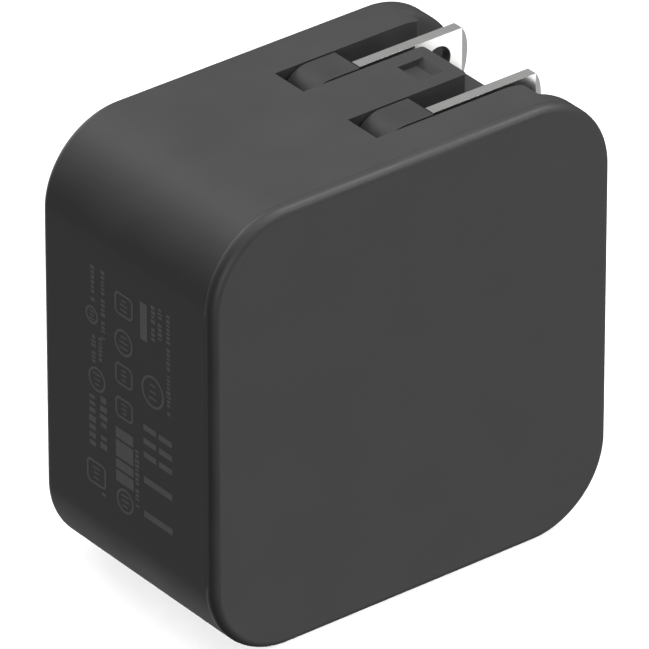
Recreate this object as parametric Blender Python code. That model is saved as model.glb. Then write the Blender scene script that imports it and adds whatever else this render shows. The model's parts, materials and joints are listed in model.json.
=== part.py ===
"""USB wall charger with a two-blade plug that folds into the top of its case.

Sizes are in millimetres and become metres where a mesh is made.
Frame: +X right, +Y back, +Z up; the origin is the middle of the bottom face.
The front cover faces -Y, and the blades lie folded in the top face, tips to +X.
"""
import math

import bmesh
import bpy
from mathutils import Matrix, Vector

MM = 0.001

# Gaps and how far cutters run past the faces they leave by
PART_GAP = 0.3
PAST = 3.0

# Case
CASE_WIDTH = 54.0
CASE_HEIGHT = 54.0
CASE_DEPTH = 30.2
CORNER_RADIUS = 10.1
EDGE_FILLET = 1.0
WALL = 2.0
BACK_WALL = 1.8
COVER_THICKNESS = 1.05
SEAM = 0.15
RIM_THICKNESS = 1.2
RIM_LENGTH = 1.7
CORNER_STEPS = 16
FILLET_STEPS = 5

# Folding plug
PIVOT_X = 4.0
DRUM_RADIUS = 3.9
PIVOT_Z = CASE_HEIGHT - DRUM_RADIUS
DRUM_INNER_Y = 4.15
DRUM_OUTER_Y = 8.55
SHAFT_RADIUS = 1.7
AXLE_RADIUS = 1.4
AXLE_END_Y = 10.2
FLAT_DEPTH = 0.35
BLADE_PITCH = 12.7
BLADE_THICKNESS = 1.5
BLADE_WIDTH = 6.35
BLADE_SHOULDER_X = PIVOT_X + DRUM_RADIUS + 0.1
BLADE_CHORD_X = 21.7
BLADE_TIP_X = 22.45
BLADE_TIP_TAPER = 0.47
BLADE_HOLE_X = 18.5
BLADE_HOLE_Z = 50.95
BLADE_HOLE_RADIUS = 1.6
TANG_THICKNESS = 1.05
TANG_CLEARANCE = 0.15

# Pocket in the top of the case
POCKET_FLOOR_Z = 44.0
POCKET_WALL = 1.2
SLOT_LEFT_X = -0.22
SLOT_INNER_Y = 3.85
SLOT_OUTER_Y = 8.85
TONGUE_END_X = 16.2
RECESS_X = 19.5
RECESS_HALF_Y = 11.9
POCKET_CORNER = 1.1
TONGUE_THICKNESS = 2.0
WELL_RIGHT_X = 8.5
LATCH_LEFT_X = 11.0
LATCH_RAMP_X = 13.1
LATCH_RIGHT_X = 14.6
LATCH_HALF_Y = 1.85
LATCH_DEPTH = 0.8

# Retainer under the hinge
RETAINER_TOP_Z = 42.4
RETAINER_THICKNESS = 1.5
RETAINER_SCREW_X = {"left": -3.9, "right": 12.0}
SCREW_RADIUS = 0.9
SCREW_HEAD_RADIUS = 1.6
SCREW_CLEARANCE = 0.2
SCREW_HEAD_HEIGHT = 1.1
SCREW_TIP_Z = 47.8
BOSS_LEFT_X = -6.5
BOSS_HALF_Y = 3.2
POST_HALF_X = 3.2
POST_HALF_Y = 3.4
LEAF_CHANNEL_HALF_Y = 1.6
LEAF_CHANNEL_Z = 46.0
LEAF_HALF_SPAN = 2.6
LEAF_RISE = 1.45
LEAF_THICKNESS = 0.35
CONTACT_TAIL_X = 7.9
CONTACT_TAIL_Z = 36.6
CONTACT_Y = 6.3
CONTACT_WIDTH = 2.2

# Electronics
BOARD_Y = 10.6
BOARD_THICKNESS = 1.6
BOARD_POSTS = ((-18.0, 12.0), (18.0, 12.0), (-18.0, 35.0), (18.0, 35.0))
BOARD_POST_RADIUS = 1.8
PORT_WIDTH = 8.94
PORT_HEIGHT = 3.2
PORT_CLEARANCE = 0.28
SHELL_THICKNESS = 0.32
SHELL_BOTTOM_Z = 0.5
SHELL_TOP_Z = 7.8
BULK_CAPACITOR_RADIUS = 6.0
BULK_CAPACITOR_LENGTH = 18.0
TRANSFORMER_X = 4.0
TRANSFORMER_BOTTOM_Z = 10.4
TRANSFORMER_TOP_Z = 28.4
CORE_HALF_WIDTH = 12.0
CORE_HALF_Y = 6.0
CENTRE_LEG_HALF = 3.5
OUTER_LEG = 4.0
YOKE = 3.6
ROUND_STEPS = 32


def clear_scene():
    for item in list(bpy.data.objects):
        bpy.data.objects.remove(item, do_unlink=True)


def plain_material(name, colour, roughness, metallic=0.0):
    material = bpy.data.materials.new(name)
    material.use_nodes = True
    shader = material.node_tree.nodes["Principled BSDF"]
    shader.inputs["Base Color"].default_value = (*colour, 1.0)
    shader.inputs["Roughness"].default_value = roughness
    shader.inputs["Metallic"].default_value = metallic
    material.diffuse_color = (*colour, 1.0)
    return material


def add_mesh(name, shape, material=None):
    """Turn a bmesh in millimetres into an object in metres."""
    bmesh.ops.recalc_face_normals(shape, faces=shape.faces)
    bmesh.ops.scale(shape, vec=(MM, MM, MM), verts=shape.verts)
    mesh = bpy.data.meshes.new(name)
    shape.to_mesh(mesh)
    shape.free()
    mesh.shade_smooth()
    mesh.set_sharp_from_angle(angle=math.radians(35))
    item = bpy.data.objects.new(name, mesh)
    bpy.context.scene.collection.objects.link(item)
    if material:
        mesh.materials.append(material)
    return item


def hide_tool(tool):
    tool.hide_render = True
    tool.display_type = "WIRE"


def boolean(item, tool, operation):
    hide_tool(tool)
    modifier = item.modifiers.new(f"{operation.lower()} {tool.name}", "BOOLEAN")
    modifier.operation = operation
    modifier.object = tool
    modifier.solver = "EXACT"


def cut(item, tool):
    boolean(item, tool, "DIFFERENCE")


def join(item, tool):
    boolean(item, tool, "UNION")


def place(point, axis, along):
    """Put an outline point across `axis` at the distance `along` it."""
    first, second = point
    return {"X": (along, first, second), "Y": (first, along, second), "Z": (first, second, along)}[axis]


def arc(centre, radius, start, end, steps):
    """Points of an arc, angles in degrees from the outline's first axis."""
    points = []
    for step in range(steps + 1):
        angle = math.radians(start + (end - start) * step / steps)
        points.append((centre[0] + radius * math.cos(angle), centre[1] + radius * math.sin(angle)))
    return points


def round_rectangle(width, height, radius, centre=(0.0, 0.0), steps=6):
    side = width / 2 - radius
    top = height / 2 - radius
    points = []
    for turn, (across, up) in enumerate(((side, top), (-side, top), (-side, -top), (side, -top))):
        corner = (centre[0] + across, centre[1] + up)
        points += arc(corner, radius, 90 * turn, 90 * turn + 90, steps)
    return points


def stadium_radius(height):
    """Corner radius that rounds an end fully and leaves a short straight side."""
    return height / 2 - 0.05


def rectangle(left, right, bottom, top):
    return [(left, bottom), (right, bottom), (right, top), (left, top)]


def circle(centre, radius, steps=ROUND_STEPS):
    return arc(centre, radius, 0, 360, steps)[:-1]


def loft(name, sections, axis, material=None):
    """Closed solid through outlines of equal length; a section is (outline, along)."""
    shape = bmesh.new()
    rings = []
    for outline, along in sections:
        rings.append([shape.verts.new(place(point, axis, along)) for point in outline])
    for lower, upper in zip(rings, rings[1:]):
        count = len(lower)
        for index in range(count):
            after = (index + 1) % count
            shape.faces.new((lower[index], lower[after], upper[after], upper[index]))
    shape.faces.new(rings[0])
    shape.faces.new(rings[-1])
    return add_mesh(name, shape, material)


def prism(name, outline, axis, start, end, material=None):
    return loft(name, [(outline, start), (outline, end)], axis, material)


def block(name, x_range, y_range, z_range, material=None):
    return prism(name, rectangle(*x_range, *y_range), "Z", *z_range, material)


def frame_prism(name, outer, inner, axis, start, end, material=None):
    """Closed ring: an outline with a hole of the same point count, swept along the axis."""
    shape = bmesh.new()
    loops = []
    for outline, along in ((outer, start), (outer, end), (inner, end), (inner, start)):
        loops.append([shape.verts.new(place(point, axis, along)) for point in outline])
    count = len(outer)
    for one, other in zip(loops, loops[1:] + loops[:1]):
        for index in range(count):
            after = (index + 1) % count
            shape.faces.new((one[index], one[after], other[after], other[index]))
    return add_mesh(name, shape, material)


def turned(name, profile, centre, axis, material=None, steps=ROUND_STEPS):
    """Solid turned round an axis; the profile is (radius, distance along) from end to end."""
    sections = [(circle(centre, radius, steps), along) for radius, along in profile]
    return loft(name, sections, axis, material)


def strip(name, centre_line, thickness, y_range, material):
    """Bent strip: a line in X and Z given a thickness, as wide as y_range."""
    upper, lower = [], []
    points = [Vector(point) for point in centre_line]
    for index, point in enumerate(points):
        before = points[max(index - 1, 0)]
        after = points[min(index + 1, len(points) - 1)]
        direction = (after - before).normalized()
        side = Vector((-direction.y, direction.x)) * thickness / 2
        upper.append(tuple(point + side))
        lower.append(tuple(point - side))
    return prism(name, upper + lower[::-1], "Y", *y_range, material)


def wire(name, route, radius, material):
    """Round lead along hand-placed points, smoothed into an even run."""
    curve = bpy.data.curves.new(name, "CURVE")
    curve.dimensions = "3D"
    curve.bevel_depth = radius * MM
    curve.bevel_resolution = 2
    curve.use_fill_caps = True
    spline = curve.splines.new("POLY")
    points = smooth_route(route)
    spline.points.add(len(points) - 1)
    for target, point in zip(spline.points, points):
        target.co = (*(Vector(point) * MM), 1.0)
    item = bpy.data.objects.new(name, curve)
    bpy.context.scene.collection.objects.link(item)
    curve.materials.append(material)
    return item


def smooth_route(route, per_stretch=5):
    """Catmull-Rom curve through the route's points."""
    points = [Vector(point) for point in route]
    padded = [points[0]] + points + [points[-1]]
    smooth = []
    for before, start, end, after in zip(padded, padded[1:], padded[2:], padded[3:]):
        for step in range(per_stretch):
            t = step / per_stretch
            smooth.append(
                0.5 * (2 * start + (end - before) * t
                       + (2 * before - 5 * start + 4 * end - after) * t ** 2
                       + (3 * start - before - 3 * end + after) * t ** 3)
            )
    smooth.append(points[-1])
    return smooth


def case_outline(inset):
    size = (CASE_WIDTH - 2 * inset, CASE_HEIGHT - 2 * inset)
    return round_rectangle(*size, CORNER_RADIUS - inset, (0.0, CASE_HEIGHT / 2), CORNER_STEPS)


def fillet_sections(face_y, inward):
    """Sections of the rounded edge, from the outer face inwards (inward is +1 or -1)."""
    sections = []
    for step in range(FILLET_STEPS + 1):
        angle = math.radians(90 * step / FILLET_STEPS)
        inset = EDGE_FILLET * (1 - math.sin(angle))
        depth = EDGE_FILLET * (1 - math.cos(angle))
        sections.append((case_outline(inset), face_y + inward * depth))
    return sections


def pocket_outline():
    """Plan of the blade slots and the finger recess, open past the right side."""
    outside = CASE_WIDTH / 2 + PAST
    radius = POCKET_CORNER
    tongue = TONGUE_END_X - radius
    tongue_side = [(SLOT_LEFT_X, SLOT_INNER_Y)]
    tongue_side += arc((tongue, SLOT_INNER_Y - radius), radius, 90, 0, 6)
    slot = [(SLOT_LEFT_X, SLOT_OUTER_Y)]
    slot += arc((RECESS_X - radius, SLOT_OUTER_Y + radius), radius, -90, 0, 6)
    slot += arc((RECESS_X + radius, RECESS_HALF_Y - radius), radius, 180, 90, 6)
    slot += [(outside, RECESS_HALF_Y)]
    half = tongue_side[::-1] + slot
    return half + [(x, -y) for x, y in reversed(half)]


def hinge_slot_outline(radius, bottom):
    """Upside-down U round the pivot, open at the bottom."""
    top = arc((PIVOT_X, PIVOT_Z), radius, 0, 180, 12)
    return [(PIVOT_X + radius, bottom)] + top + [(PIVOT_X - radius, bottom)]


def make_housing(material):
    half_depth = CASE_DEPTH / 2
    front_y = -half_depth + COVER_THICKNESS + SEAM
    sections = fillet_sections(half_depth, -1) + [(case_outline(0.0), front_y)]
    housing = loft("main_housing", sections, "Y", material)

    cavity = prism("cavity_tool", case_outline(WALL), "Y", front_y - PAST, half_depth - BACK_WALL)
    for solid in solids_inside_case():
        cut(cavity, solid)
    cut(housing, cavity)
    for tool in pocket_tools() + [port_tool()]:
        cut(housing, tool)


def solids_inside_case():
    """Walls round the blade pocket, the screw boss and the board posts."""
    bottom = POCKET_FLOOR_Z - POCKET_WALL
    above = CASE_HEIGHT + PAST
    right = CASE_WIDTH / 2 + PAST
    slot_left = SLOT_LEFT_X - POCKET_WALL
    slot_reach = SLOT_OUTER_Y + POCKET_WALL
    recess_left = RECESS_X - POCKET_WALL
    overlap = 0.1
    boss_y = (-BOSS_HALF_Y, BOSS_HALF_Y)
    solids = [
        block("slot_walls_tool", (slot_left, right), (-slot_reach, slot_reach), (bottom, above)),
        block("recess_walls_tool", (recess_left, right), (-CASE_DEPTH, CASE_DEPTH), (bottom - overlap, above)),
        block("screw_boss_tool", (BOSS_LEFT_X, slot_left + overlap), boss_y, (bottom + overlap, above)),
    ]
    post_start = BOARD_Y + BOARD_THICKNESS + PART_GAP
    for index, centre in enumerate(BOARD_POSTS):
        post = circle(centre, BOARD_POST_RADIUS, 16)
        solids.append(prism(f"board_post_tool_{index}", post, "Y", post_start, CASE_DEPTH))
    return solids


def pocket_tools():
    """What is cut from the top of the case for the folding plug."""
    above = CASE_HEIGHT + PAST
    below = POCKET_FLOOR_Z - POCKET_WALL - PAST
    inset = 0.1
    well_x = (SLOT_LEFT_X + inset, WELL_RIGHT_X)
    well_y = SLOT_OUTER_Y - inset
    bearing = hinge_slot_outline(AXLE_RADIUS + PART_GAP, below)
    bearing_end = AXLE_END_Y + PART_GAP
    latch_floor = CASE_HEIGHT - LATCH_DEPTH
    latch = [
        (LATCH_LEFT_X, above),
        (LATCH_LEFT_X, latch_floor),
        (LATCH_RAMP_X, latch_floor),
        (LATCH_RIGHT_X, CASE_HEIGHT),
        (LATCH_RIGHT_X, above),
    ]
    tools = [
        prism("pocket_tool", pocket_outline(), "Z", POCKET_FLOOR_Z, above),
        block("well_tool", well_x, (-well_y, well_y), (below, CASE_HEIGHT - TONGUE_THICKNESS)),
        prism("bearing_tool", bearing, "Y", -bearing_end, bearing_end),
        prism("latch_tool", latch, "Y", -LATCH_HALF_Y, LATCH_HALF_Y),
    ]
    for side, x in RETAINER_SCREW_X.items():
        bore = circle((x, 0), SCREW_RADIUS + SCREW_CLEARANCE, 20)
        tools.append(prism(f"screw_bore_tool_{side}", bore, "Z", below, SCREW_TIP_Z + PART_GAP))
    return tools


def port_tool():
    width = PORT_WIDTH + 2 * PORT_CLEARANCE
    height = PORT_HEIGHT + 2 * PORT_CLEARANCE
    outline = round_rectangle(width, height, stadium_radius(height))
    return prism("port_opening_tool", outline, "Z", -PAST, WALL + 1)


def make_front_cover(material):
    face_y = -CASE_DEPTH / 2
    back_y = face_y + COVER_THICKNESS
    sections = fillet_sections(face_y, 1) + [(case_outline(0.0), back_y)]
    cover = loft("front_cover", sections, "Y", material)
    outer = case_outline(WALL + PART_GAP)
    inner = case_outline(WALL + PART_GAP + RIM_THICKNESS)
    rim = frame_prism("rim_tool", outer, inner, "Y", back_y - COVER_THICKNESS / 3, back_y + RIM_LENGTH)
    corner_x = (RECESS_X - POCKET_WALL - PART_GAP, CASE_WIDTH / 2)
    corner_z = (POCKET_FLOOR_Z - POCKET_WALL - 2 * PART_GAP, CASE_HEIGHT)
    cut(rim, block("rim_corner_tool", corner_x, (-CASE_DEPTH, 0), corner_z))
    join(cover, rim)


def drum_outline():
    """Three quarters of a circle with a square quarter that lies flush with the case."""
    right = PIVOT_X + DRUM_RADIUS
    return arc((PIVOT_X, PIVOT_Z), DRUM_RADIUS, 90, 360, 36) + [(right, PIVOT_Z + DRUM_RADIUS)]


def tang_outline(clearance):
    """Blade root inside the drum, with the contact pad at its left end."""
    right = BLADE_SHOULDER_X + clearance
    neck = PIVOT_X - 2.0 - clearance
    pad = PIVOT_X - 3.7 - clearance
    return [
        (pad, PIVOT_Z - 0.9 - clearance),
        (neck, PIVOT_Z - 0.9 - clearance),
        (neck, PIVOT_Z - 1.9 - clearance),
        (right, PIVOT_Z - 1.9 - clearance),
        (right, PIVOT_Z + 2.8 + clearance),
        (neck, PIVOT_Z + 2.8 + clearance),
        (neck, PIVOT_Z + 0.9 + clearance),
        (pad, PIVOT_Z + 0.9 + clearance),
    ]


def blade_faces(front_y):
    """Depth range of a blade and of its tang, from the blade's front face."""
    back_y = front_y + BLADE_THICKNESS
    return (front_y, back_y), (back_y - TANG_THICKNESS, back_y)


def hang_on_pivot(item, pivot):
    """Move the item's origin to the joint axis and let the pivot carry it."""
    if item.type == "MESH":
        item.data.transform(Matrix.Translation(-pivot.location))
    item.parent = pivot


def make_pivot():
    pivot = bpy.data.objects.new("blade_pivot", None)
    pivot.location = (PIVOT_X * MM, 0.0, PIVOT_Z * MM)
    bpy.context.scene.collection.objects.link(pivot)
    bpy.context.view_layer.update()
    return pivot


def blade_front_faces():
    """Front face of each blade: both sit at the front of their drums."""
    front = -DRUM_OUTER_Y
    return {"line": front, "neutral": front + BLADE_PITCH}


def make_carrier(pivot, material):
    shaft = circle((PIVOT_X, PIVOT_Z), SHAFT_RADIUS, 32)
    carrier = prism("blade_carrier", shaft, "Y", -DRUM_INNER_Y - 0.5, DRUM_INNER_Y + 0.5, material)
    flat = SHAFT_RADIUS - FLAT_DEPTH
    reach = SHAFT_RADIUS + 1
    below = (PIVOT_Z - reach, PIVOT_Z - flat)
    left = (PIVOT_X - reach, PIVOT_X - flat)
    flat_y = (-LEAF_CHANNEL_HALF_Y, LEAF_CHANNEL_HALF_Y)
    cut(carrier, block("rest_flat_tool", (PIVOT_X - reach, PIVOT_X + reach), flat_y, below))
    cut(carrier, block("open_flat_tool", left, flat_y, (PIVOT_Z - reach, PIVOT_Z + reach)))
    axle = circle((PIVOT_X, PIVOT_Z), AXLE_RADIUS, 24)
    for side, sign in (("front", -1), ("back", 1)):
        drum = prism(f"drum_tool_{side}", drum_outline(), "Y", sign * DRUM_INNER_Y, sign * DRUM_OUTER_Y)
        join(carrier, drum)
        stub = prism(f"axle_tool_{side}", axle, "Y", sign * (DRUM_OUTER_Y - 0.2), sign * AXLE_END_Y)
        join(carrier, stub)
    for name, front_y in blade_front_faces().items():
        tang_y = blade_faces(front_y)[1]
        pocket_y = (tang_y[0] - TANG_CLEARANCE, tang_y[1] + TANG_CLEARANCE)
        cut(carrier, prism(f"tang_pocket_tool_{name}", tang_outline(TANG_CLEARANCE), "Y", *pocket_y))
    hang_on_pivot(carrier, pivot)


def blade_outline():
    """Side view of the blade outside its drum: straight edges and a round tip."""
    half = BLADE_WIDTH / 2
    middle_z = CASE_HEIGHT - half
    bulge = BLADE_TIP_X - BLADE_CHORD_X
    radius = (half ** 2 + bulge ** 2) / (2 * bulge)
    spread = math.degrees(math.asin(half / radius))
    tip = arc((BLADE_TIP_X - radius, middle_z), radius, -spread, spread, 12)
    return [(BLADE_SHOULDER_X, CASE_HEIGHT), (BLADE_SHOULDER_X, CASE_HEIGHT - BLADE_WIDTH)] + tip


def make_blade(name, front_y, pivot, material):
    blade_y, tang_y = blade_faces(front_y)
    blade = prism(f"blade_{name}", blade_outline(), "Y", *blade_y, material)
    reach = PAST
    rise = reach * BLADE_TIP_TAPER
    tool_z = (CASE_HEIGHT - BLADE_WIDTH - PAST, CASE_HEIGHT + PAST)
    for side, face, sign in (("front", blade_y[0], -1), ("back", blade_y[1], 1)):
        wedge = [
            (BLADE_CHORD_X, face),
            (BLADE_CHORD_X + reach, face - sign * rise),
            (BLADE_CHORD_X + reach, face + sign),
            (BLADE_CHORD_X, face + sign),
        ]
        cut(blade, prism(f"tip_taper_tool_{name}_{side}", wedge, "Z", *tool_z))
    hole = circle((BLADE_HOLE_X, BLADE_HOLE_Z), BLADE_HOLE_RADIUS, 28)
    cut(blade, prism(f"hole_tool_{name}", hole, "Y", blade_y[0] - 1, blade_y[1] + 1))
    root = [(x + 0.3 if x > PIVOT_X else x, z) for x, z in tang_outline(0.0)]
    join(blade, prism(f"tang_tool_{name}", root, "Y", tang_y[0], tang_y[1] - 0.02))
    hang_on_pivot(blade, pivot)


def make_retainer(material):
    bottom = RETAINER_TOP_Z - RETAINER_THICKNESS
    plate = block("hinge_retainer", (-6.2, 15.0), (-8.4, 8.4), (bottom, RETAINER_TOP_Z), material)
    through = (bottom - 1, RETAINER_TOP_Z + 1)
    post_x = (PIVOT_X - POST_HALF_X, PIVOT_X + POST_HALF_X)
    join(plate, block("cradle_tool", post_x, (-POST_HALF_Y, POST_HALF_Y), (bottom + 0.5, PIVOT_Z - 0.1)))
    cradle = circle((PIVOT_X, PIVOT_Z), SHAFT_RADIUS + PART_GAP, 32)
    cut(plate, prism("cradle_bore_tool", cradle, "Y", -POST_HALF_Y - 1, POST_HALF_Y + 1))
    channel_x = (post_x[0] - 1, post_x[1] + 1)
    channel_y = (-LEAF_CHANNEL_HALF_Y, LEAF_CHANNEL_HALF_Y)
    cut(plate, block("leaf_channel_tool", channel_x, channel_y, (LEAF_CHANNEL_Z, PIVOT_Z + 2)))
    slot_x = (CONTACT_TAIL_X - 2 * PART_GAP, CONTACT_TAIL_X + 2 * PART_GAP)
    half_slot = CONTACT_WIDTH / 2 + PART_GAP
    for sign in (-1, 1):
        slot_y = (sign * CONTACT_Y - half_slot, sign * CONTACT_Y + half_slot)
        cut(plate, block(f"contact_slot_tool_{sign}", slot_x, slot_y, through))
    for side, x in RETAINER_SCREW_X.items():
        bore = circle((x, 0), SCREW_RADIUS + SCREW_CLEARANCE, 20)
        cut(plate, prism(f"plate_bore_tool_{side}", bore, "Z", *through))


def make_retainer_screws(material):
    under_head = RETAINER_TOP_Z - RETAINER_THICKNESS - 0.1
    profile = [
        (0.75 * SCREW_HEAD_RADIUS, under_head - SCREW_HEAD_HEIGHT),
        (SCREW_HEAD_RADIUS, under_head - 0.6 * SCREW_HEAD_HEIGHT),
        (SCREW_HEAD_RADIUS, under_head),
        (SCREW_RADIUS, under_head),
        (SCREW_RADIUS, SCREW_TIP_Z - 0.8),
        (0.4 * SCREW_RADIUS, SCREW_TIP_Z),
    ]
    slot_z = (under_head - SCREW_HEAD_HEIGHT - 1, under_head - 0.5 * SCREW_HEAD_HEIGHT)
    for side, x in RETAINER_SCREW_X.items():
        screw = turned(f"retainer_screw_{side}", profile, (x, 0), "Z", material, 24)
        for turn, (half_x, half_y) in enumerate(((1.0, 0.2), (0.2, 1.0))):
            tool = block(f"drive_tool_{side}_{turn}", (x - half_x, x + half_x), (-half_y, half_y), slot_z)
            cut(screw, tool)


def make_springs(spring_steel, copper):
    leaf = []
    for step in range(11):
        across = (step / 5 - 1) * LEAF_HALF_SPAN
        rise = LEAF_RISE * math.cos(across / LEAF_HALF_SPAN * math.pi / 2)
        leaf.append((PIVOT_X + across, LEAF_CHANNEL_Z + 0.5 + rise))
    half_leaf = LEAF_CHANNEL_HALF_Y - PART_GAP
    strip("detent_spring", leaf, LEAF_THICKNESS, (-half_leaf, half_leaf), spring_steel)
    bend_z = RETAINER_TOP_Z + 0.4
    bend_radius = 1.4
    tail = [(CONTACT_TAIL_X, CONTACT_TAIL_Z), (CONTACT_TAIL_X, bend_z)]
    bend = arc((CONTACT_TAIL_X - bend_radius, bend_z), bend_radius, 20, 75, 4)
    finger = [(PIVOT_X, 45.6), (PIVOT_X - 1.4, 45.35), (PIVOT_X - 2.8, 44.5)]
    for name, sign in (("line", -1), ("neutral", 1)):
        y_range = (sign * CONTACT_Y - CONTACT_WIDTH / 2, sign * CONTACT_Y + CONTACT_WIDTH / 2)
        strip(f"contact_spring_{name}", tail + bend + finger, 0.4, y_range, copper)


def make_lead_wires(insulation):
    wire("lead_wire_neutral", [(7.9, 6.3, 36.0), (7.9, 6.6, 34.8), (7.9, 8.2, 34.2), (7.9, 10.2, 34.2)],
         0.6, insulation)
    wire("lead_wire_line", [(7.9, -6.3, 36.0), (7.7, -6.0, 34.9), (6.9, -4.2, 34.0), (5.6, 0.0, 33.6),
                            (5.0, 5.5, 33.4), (5.0, 10.2, 33.4)], 0.6, insulation)


def make_boards(material):
    back = BOARD_Y + BOARD_THICKNESS
    outline = round_rectangle(44.0, 34.0, 1.0, (0.0, 23.0), 3)
    prism("mains_board", outline, "Y", BOARD_Y, back, material)
    block("usb_board", (-9, 9), (1.9, 2.9), (3.0, 9.4), material)


def make_usb_port(steel, plastic):
    outer = round_rectangle(PORT_WIDTH, PORT_HEIGHT, stadium_radius(PORT_HEIGHT))
    width = PORT_WIDTH - 2 * SHELL_THICKNESS
    height = PORT_HEIGHT - 2 * SHELL_THICKNESS
    inner = round_rectangle(width, height, stadium_radius(height))
    shell = prism("usb_shell", outer, "Z", SHELL_BOTTOM_Z, SHELL_TOP_Z, steel)
    cut(shell, prism("usb_mouth_tool", inner, "Z", SHELL_BOTTOM_Z - 1, SHELL_TOP_Z - SHELL_THICKNESS))
    block("usb_tongue", (-3.35, 3.35), (-0.35, 0.35), (SHELL_BOTTOM_Z + 0.7, SHELL_TOP_Z - 0.8), plastic)


def bevel(item, width, segments=2):
    modifier = item.modifiers.new("edges", "BEVEL")
    modifier.width = width * MM
    modifier.segments = segments
    modifier.limit_method = "ANGLE"


def make_mains_input(colours):
    turned("fuse", [(1.5, -21.5), (1.8, -21.2), (1.8, -19.0), (1.5, -18.9), (1.5, -14.1), (1.8, -14.0),
                    (1.8, -11.8), (1.5, -11.5)], (7.8, 24.5), "X", colours["fuse"], 20)
    bevel(block("x_capacitor", (-22, -10), (3.4, 10.2), (28.6, 39.4), colours["film"]), 0.5)
    disc = [(3.4, 7.0), (4.2, 7.7), (4.2, 9.5), (3.4, 10.2)]
    turned("y_capacitor", disc, (-1.5, 34.0), "Y", colours["ceramic"])
    bevel(block("bridge_rectifier", (10.8, 21.2), (6.9, 10.2), (29.6, 37.4), colours["chip"]), 0.3)


def sweep_sleeve(name, centre, spread, outer, inner, material, steps=10):
    """Sleeve round a ring core: a hollow section turned part of a circle about Y."""
    shape = bmesh.new()
    stations = []
    for step in range(steps + 1):
        angle = math.radians(spread[0] + (spread[1] - spread[0]) * step / steps)
        loops = []
        for section in (outer, inner):
            loop = []
            for radius, y in section:
                x = centre[0] + radius * math.cos(angle)
                z = centre[1] + radius * math.sin(angle)
                loop.append(shape.verts.new((x, y, z)))
            loops.append(loop)
        stations.append(loops)
    for near, far in zip(stations, stations[1:]):
        for side in range(2):
            for index in range(4):
                after = (index + 1) % 4
                shape.faces.new((near[side][index], near[side][after], far[side][after], far[side][index]))
    for outer_loop, inner_loop in (stations[0], stations[-1]):
        for index in range(4):
            after = (index + 1) % 4
            shape.faces.new((outer_loop[index], outer_loop[after], inner_loop[after], inner_loop[index]))
    return add_mesh(name, shape, material)


def make_choke(colours):
    centre = (16.4, 33.6)
    outer = circle(centre, 4.2)
    inner = circle(centre, 2.4)
    frame_prism("choke_core", outer, inner, "Y", -0.5, 3.5, colours["ferrite"])
    shell = rectangle(1.5, 5.1, -1.4, 4.4)
    hollow = rectangle(2.1, 4.5, -0.8, 3.8)
    for name, middle in (("line", 0), ("neutral", 180)):
        spread = (middle - 60, middle + 60)
        sweep_sleeve(f"choke_winding_{name}", centre, spread, shell, hollow, colours["copper"])


def make_bulk_capacitors(material):
    radius = BULK_CAPACITOR_RADIUS
    for name, bottom in (("lower", 10.2), ("upper", 29.4)):
        top = bottom + BULK_CAPACITOR_LENGTH
        profile = [
            (radius - 0.6, bottom),
            (radius, bottom + 0.6),
            (radius, bottom + 1.8),
            (radius - 0.5, bottom + 2.3),
            (radius, bottom + 2.8),
            (radius, top - 0.6),
            (radius - 0.6, top),
        ]
        turned(f"bulk_capacitor_{name}", profile, (-16.5, -3.5), "Z", material)


def make_transformer(colours):
    """Two E cores round a bobbin that carries the winding on an upright axis."""
    bottom, top = TRANSFORMER_BOTTOM_Z, TRANSFORMER_TOP_Z
    for name, back, direction in (("lower", bottom, 1), ("upper", top, -1)):
        outline = e_core_outline(back, direction)
        prism(f"transformer_core_{name}", outline, "Y", -CORE_HALF_Y, CORE_HALF_Y, colours["ferrite"])
    bore = leg_outline(PART_GAP, 0.5)
    tube = leg_outline(PART_GAP + 0.6, 0.9)
    inside = leg_outline(2 * PART_GAP + 0.6, 1.2)
    centre = (TRANSFORMER_X, 0)
    flange = round_rectangle(15.4, 20.6, 1.0, centre)
    outside = round_rectangle(14.8, 20.0, 2.5, centre)
    flange_thickness = 0.8
    low, high = bottom + YOKE + PART_GAP, top - YOKE - PART_GAP
    bobbin = frame_prism("transformer_bobbin", tube, bore, "Z", low + 0.1, high - 0.1, colours["bobbin"])
    for name, start in (("lower", low), ("upper", high - flange_thickness)):
        end = start + flange_thickness
        join(bobbin, frame_prism(f"flange_tool_{name}", flange, bore, "Z", start, end))
    wound = flange_thickness + PART_GAP
    frame_prism("transformer_winding", outside, inside, "Z", low + wound, high - wound, colours["tape"])


def leg_outline(offset, radius):
    """Plan of the core's centre leg, grown all round."""
    size = (2 * (CENTRE_LEG_HALF + offset), 2 * (CORE_HALF_Y + offset))
    return round_rectangle(*size, radius, (TRANSFORMER_X, 0))


def e_core_outline(back, direction):
    """Side view of an E core whose legs point along `direction` to the joint between the cores."""
    x = TRANSFORMER_X
    tip = (TRANSFORMER_BOTTOM_Z + TRANSFORMER_TOP_Z) / 2 - direction * 0.1
    yoke = back + direction * YOKE
    window = CORE_HALF_WIDTH - OUTER_LEG
    right = [
        (CORE_HALF_WIDTH, back),
        (CORE_HALF_WIDTH, tip),
        (window, tip),
        (window, yoke),
        (CENTRE_LEG_HALF, yoke),
        (CENTRE_LEG_HALF, tip),
    ]
    return [(x + across, z) for across, z in right] + [(x - across, z) for across, z in reversed(right)]


def make_power_stage(colours):
    block("heat_spreader", (23.1, 24.1), (-9, 9), (11.0, 28.0), colours["aluminium"])
    bevel(block("power_switch", (18.4, 22.8), (-5, 5), (13.0, 27.0), colours["chip"]), 0.3)
    bevel(block("control_chip", (17.5, 22.0), (8.8, 10.3), (12.5, 17.0), colours["chip"]), 0.2)
    block("front_heat_plate", (-20, 20), (-11.9, -11.1), (10.0, 40.0), colours["aluminium"])
    block("insulation_sheet", (-21, 21), (-12.7, -12.3), (8.0, 41.0), colours["sheet"])


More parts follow.
